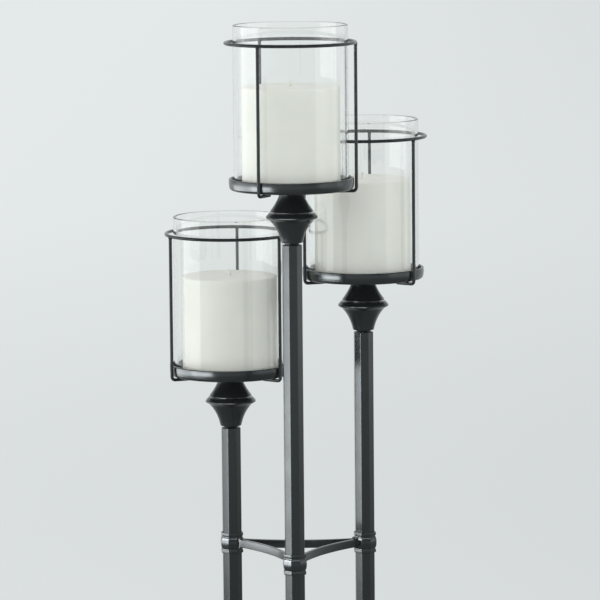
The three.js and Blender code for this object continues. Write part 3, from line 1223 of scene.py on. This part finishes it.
def makeBars():
    b = bar
    pairs = [("middle", "right"), ("right", "left"), ("left", "middle")]
    for level in ("upper", "lower"):
        for first, second in pairs:
            node = f"{level}_bar_{first}_{second}"
            name = f"{level}Bar_{first}_{second}"
            height = nodeMiddle(node).z
            piece, centre, radius, turned, sweep = startBar(name, postAxis[first], postAxis[second], height)
            startEdit()
            pickAll()
            ending = centre + Vector((math.cos(turned), math.sin(turned), 0)) * radius
            swell(b["weldScale"], ending)
            weld = math.copysign(b["weldLength"] * mm / radius, sweep)
            runs = [
                (weld, b["weldSteps"], 1 / b["weldScale"]),
                (sweep - 2 * weld, b["steps"], 1.0),
                (weld, b["weldSteps"], b["weldScale"]),
            ]
            for angle, steps, scale in runs:
                bpy.ops.mesh.spin(steps=steps, angle=-angle, center=centre, axis=up)
                turned += angle
                arm = Vector((math.cos(turned), math.sin(turned), 0))
                ending = centre + arm * radius
                along = Vector((-arm.y, arm.x, 0))
                pickVertices(piece, lambda point: abs((point - ending).dot(along)) < sameLevel
                             and (point - ending).length < b["height"] * mm)
                swell(scale, ending)
            closeUp()
            finishEdit(piece, name)
            roundEdges(piece, *b["edge"])
            smoothFaces(piece, b["smoothTo"])
            standFor(piece, node)


makeBars()
print("bars made")

# Carried-over nodes.
for node, carried in nodes.items():
    if not carried.hide_render:
        carried.data.materials.clear()
        carried.data.materials.append(materials[slotOf[node]])
        print("carried over:", node)

# Floor, light and camera.
studio = {
    "floorSize": 160.0,          # metres, as are all lengths here
    "floorColour": "#dde1e1",
    "floorGlow": 0.03,           # added where the floor is seen, so that it stays pale
    "farGlow": 0.11,             # more of it far away, where the lamps don't reach
    "farFrom": 1.0,
    "farTo": 5.6,
    "paintedLeftLight": 0.055,          # painted light: the floor glows a little more on the left than the right, as if lit from that side
    "paintedLeftLightReach": 1.2,
    "worldColour": "#f3f4f4",
    "worldLight": 0.98,
    "backColour": "#dfe3e3",
    "frontColour": "#54575b",    # what gloss finds on the camera's side, a dimmer room
    "frontEdges": (-0.1, 0.9),   # directions between which that room brightens to the back's colour
    "nearDim": 0.8,              # how much darker gloss finds the floor before the stand
    "frontDim": 0.36,            # and further towards the camera
    "nearTo": 2.6,
}


# 1 for rays that look at the set directly or through glass.
def seenDirectly(tree, path):
    return addNode(tree, "Math", {
        0: path.outputs["Is Camera Ray"], 1: path.outputs["Is Transmission Ray"],
    }, operation="MAXIMUM").outputs["Value"]


def makeFloor():
    s = studio
    selectNone()
    bpy.ops.mesh.primitive_plane_add(size=s["floorSize"], location=(0, 0, 0))
    floor = bpy.context.object
    floor.name = "studioFloor"
    material, tree, place = startMaterial("palePaperFloor")
    path = addNode(tree, "LightPath")
    parts = addNode(tree, "SeparateXYZ", {"Vector": place})
    far = addNode(tree, "MapRange", {
        "Value": parts.outputs["Y"], "From Min": s["farFrom"], "From Max": s["farTo"],
        "To Min": s["floorGlow"], "To Max": s["floorGlow"] + s["farGlow"],
    }, interpolation_type="SMOOTHSTEP")
    # painted light on the floor: more glow on the left side and less on the right
    left = addNode(tree, "MapRange", {
        "Value": parts.outputs["X"], "From Min": -s["paintedLeftLightReach"], "From Max": s["paintedLeftLightReach"],
        "To Min": s["paintedLeftLight"], "To Max": -s["paintedLeftLight"],
    }, interpolation_type="SMOOTHSTEP")
    glow = addNode(tree, "Math", {
        0: far.outputs["Result"], 1: left.outputs["Result"],
    }, operation="ADD")
    seen = addNode(tree, "Math", {
        0: seenDirectly(tree, path), 1: path.outputs["Is Glossy Ray"],
    }, operation="MAXIMUM")
    strength = addNode(tree, "Math", {
        0: seen.outputs["Value"], 1: glow.outputs["Value"],
    }, operation="MULTIPLY")
    paper = addNode(tree, "BsdfDiffuse", {"Color": linear(s["floorColour"])})
    light = addNode(tree, "Emission", {
        "Color": linear(s["floorColour"]), "Strength": strength.outputs["Value"],
    })
    lit = addNode(tree, "AddShader", {0: paper.outputs["BSDF"], 1: light.outputs["Emission"]})
    front = addNode(tree, "MapRange", {
        "Value": parts.outputs["Y"], "From Min": -s["nearTo"], "From Max": -s["nearTo"] / 2,
        "To Min": s["frontDim"], "To Max": s["nearDim"],
    }, interpolation_type="SMOOTHSTEP")
    behind = addNode(tree, "MapRange", {
        "Value": parts.outputs["Y"], "From Min": 0.0, "From Max": s["nearTo"] / 2,
        "To Min": 1.0, "To Max": 0.0,
    }, interpolation_type="SMOOTHSTEP")
    dimHere = addNode(tree, "Math", {
        0: front.outputs["Result"], 1: behind.outputs["Result"],
    }, operation="MULTIPLY")
    reflected = addNode(tree, "Math", {
        0: path.outputs["Is Glossy Ray"], 1: path.outputs["Is Transmission Ray"],
    }, operation="SUBTRACT", use_clamp=True)
    dim = addNode(tree, "Math", {
        0: reflected.outputs["Value"], 1: dimHere.outputs["Value"],
    }, operation="MULTIPLY")
    dark = addNode(tree, "BsdfDiffuse", {"Color": (0.0, 0.0, 0.0, 1.0)})
    both = addNode(tree, "MixShader", {
        0: dim.outputs["Value"], 1: lit.outputs["Shader"], 2: dark.outputs["BSDF"],
    })
    endMaterial(tree, both.outputs["Shader"])
    floor.data.materials.append(material)


def makeWorld():
    s = studio
    world = bpy.data.worlds.new("paleStudio")
    bpy.context.scene.world = world
    world.use_nodes = True
    tree = world.node_tree
    tree.nodes.clear()
    path = addNode(tree, "LightPath")
    direction = addNode(tree, "TexCoord").outputs["Generated"]
    parts = addNode(tree, "SeparateXYZ", {"Vector": direction})
    frontEnd, backStart = s["frontEdges"]
    behind = addNode(tree, "MapRange", {
        "Value": parts.outputs["Y"], "From Min": frontEnd, "From Max": backStart,
    }, interpolation_type="SMOOTHSTEP")
    room = addNode(tree, "Mix", {
        0: behind.outputs["Result"], 6: linear(s["frontColour"]), 7: linear(s["backColour"]),
    }, data_type="RGBA")
    light = addNode(tree, "Background", {
        "Color": linear(s["worldColour"]), "Strength": s["worldLight"],
    })
    reflected = addNode(tree, "Background", {"Color": room.outputs[2], "Strength": 1.0})
    back = addNode(tree, "Background", {"Color": linear(s["backColour"]), "Strength": 1.0})
    glossy = addNode(tree, "MixShader", {
        0: path.outputs["Is Glossy Ray"],
        1: light.outputs["Background"],
        2: reflected.outputs["Background"],
    })
    mixed = addNode(tree, "MixShader", {
        0: seenDirectly(tree, path), 1: glossy.outputs["Shader"], 2: back.outputs["Background"],
    })
    addNode(tree, "OutputWorld", {"Surface": mixed.outputs["Shader"]})


# Lengths are metres. Seen from above, angle 0 is the camera's side, 90 the right and -90 the left.
# A lamp for posts, collars or detail puts highlights on that painted metal and lights nothing else.
lamps = [
    {"name": "leftWindow", "angle": -89, "distance": 1.25, "height": 0.42, "width": 1.15, "tall": 0.8,
     "radiance": 1.3, "lights": "all"},
    {"name": "rightWindow", "angle": 80, "distance": 1.8, "height": 0.55, "width": 1.9, "tall": 0.9,
     "radiance": 0.6, "lights": "all"},
    {"name": "frontFill", "angle": 8, "distance": 1.7, "height": 1.35, "width": 1.6, "tall": 1.0,
     "radiance": 1.0, "lights": "notGloss"},
    {"name": "postStrip", "angle": -57, "distance": 1.4, "height": 0.2, "width": 1.12, "tall": 0.38,
     "radiance": 6.0, "lights": "posts"},
    {"name": "lowLeftStrip", "angle": -57, "distance": 1.4, "height": 0.2, "width": 1.12, "tall": 0.38,
     "radiance": 8.5, "lights": "detail"},
    {"name": "backLeftStrip", "angle": -105, "distance": 1.4, "height": 0.2, "width": 1.3, "tall": 0.38,
     "radiance": 4.2, "lights": "detail"},
    {"name": "collarStrip", "angle": -70, "distance": 1.4, "height": 0.5, "width": 1.4, "tall": 0.2,
     "radiance": 16.0, "lights": "collars"},
    {"name": "highFrontStrip", "angle": -20, "distance": 1.5, "height": 1.08, "width": 2.4, "tall": 0.28,
     "radiance": 4.2, "lights": "detail"},
]
lampAim = Vector((0.0, 0.0, 0.48))


# The painted pieces in groups, so that each takes its highlights from its own lamps. The cage
# wires are in none, and the collars in two.
def paintedGroups():
    groups = {name: bpy.data.collections.new(f"painted_{name}") for name in ("posts", "collars", "detail")}
    groupsOf = {
        "octagonPost": ("posts",),
        "wireRing": (),
        "wireUpright": (),
        "upperCollar": ("detail", "collars"),
        "lowerCollar": ("detail", "collars"),
    }
    for shown in bpy.data.objects:
        if shown.get("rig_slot") == "gunmetal_paint":
            for group in groupsOf.get(shown.name.split("_")[0], ("detail",)):
                groups[group].objects.link(shown)
    return groups


def makeLamps():
    groups = paintedGroups()
    for lamp in lamps:
        angle = math.radians(lamp["angle"])
        away = Vector((math.sin(angle), -math.cos(angle), 0)) * lamp["distance"]
        place = away + up * lamp["height"]
        selectNone()
        bpy.ops.object.light_add(type="AREA", location=place)
        added = bpy.context.object
        added.name = lamp["name"]
        aim = lampAim - place
        added.rotation_euler = aim.to_track_quat("-Z", "Y").to_euler()
        added.data.shape = "RECTANGLE"
        added.data.size = lamp["width"]
        added.data.size_y = lamp["tall"]
        # an area lamp's radiance is its power over pi times its area
        added.data.energy = lamp["radiance"] * math.pi * lamp["width"] * lamp["tall"]
        added.visible_camera = False
        if lamp["lights"] == "notGloss":
            added.visible_glossy = False
        if lamp["lights"] in groups:
            added.visible_diffuse = False
            added.visible_transmission = False
            added.light_linking.receiver_collection = groups[lamp["lights"]]


camera = {
    "lens": 240.0,
    "sensor": 36.0,
    "azimuth": 1.81,
    "elevation": 7.226,
    "roll": -0.504,
    "distance": 3125.8,
    "side": 5.05,            # aim point, right of the origin as the camera sees it
    "height": 484.66,
    "clip": (0.05, 400.0),   # metres
}


def makeCamera():
    c = camera
    azimuth = math.radians(c["azimuth"])
    elevation = math.radians(c["elevation"])
    roll = math.radians(c["roll"])
    right = Vector((math.cos(azimuth), math.sin(azimuth), 0))
    level = Vector((math.sin(azimuth), -math.cos(azimuth), 0))
    back = level * math.cos(elevation) + up * math.sin(elevation)
    above = back.cross(right)
    aim = right * (c["side"] * mm) + up * (c["height"] * mm)
    turnedRight = right * math.cos(roll) + above * math.sin(roll)
    turnedUp = above * math.cos(roll) - right * math.sin(roll)
    selectNone()
    bpy.ops.object.camera_add(location=aim + back * (c["distance"] * mm))
    added = bpy.context.object
    added.name = "studioCamera"
    facing = Matrix((turnedRight, turnedUp, back)).transposed()
    added.rotation_euler = facing.to_euler()
    added.data.lens = c["lens"]
    added.data.sensor_width = c["sensor"]
    added.data.clip_start, added.data.clip_end = c["clip"]
    bpy.context.scene.camera = added


makeFloor()
makeWorld()
makeLamps()
makeCamera()
bpy.context.scene.view_settings.view_transform = "Standard"
print("studio made")
